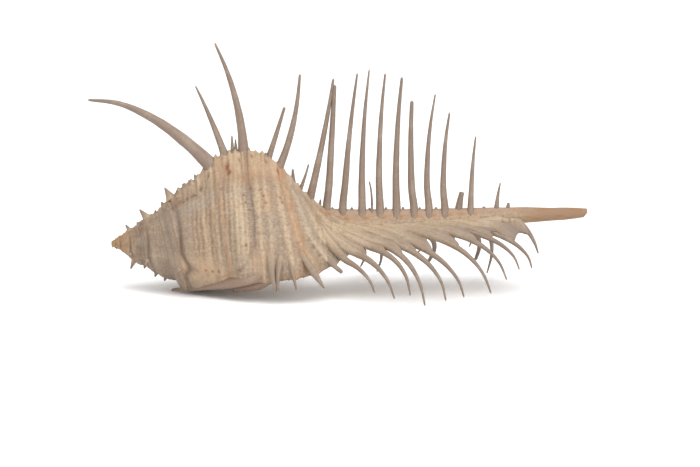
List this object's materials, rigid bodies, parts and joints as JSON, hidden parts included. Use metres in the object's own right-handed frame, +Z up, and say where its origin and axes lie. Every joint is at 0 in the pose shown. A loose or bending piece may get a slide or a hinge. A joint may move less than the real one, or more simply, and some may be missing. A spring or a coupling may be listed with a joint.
{
  "type": "venus comb murex shell",
  "caption": "Spiny sea snail shell with a short spire, a rounded body whorl and a long straight canal edged by combs of slender curved spines; rests on a table.",
  "frame": {"origin": "centre of the bounding box's base, on the surface that the shell lies on", "axes": "+X from the apex towards the end of the siphonal canal, -Y towards the outer lip and its comb, +Z up along the upright comb"},
  "size_m": [0.126, 0.0483, 0.0632],
  "materials": {
    "shell": "matt to satin shell, cream to tan with brown spots"
  },
  "bodies": {
    "root": {"shell": "shell"}
  },
  "joints": []
}
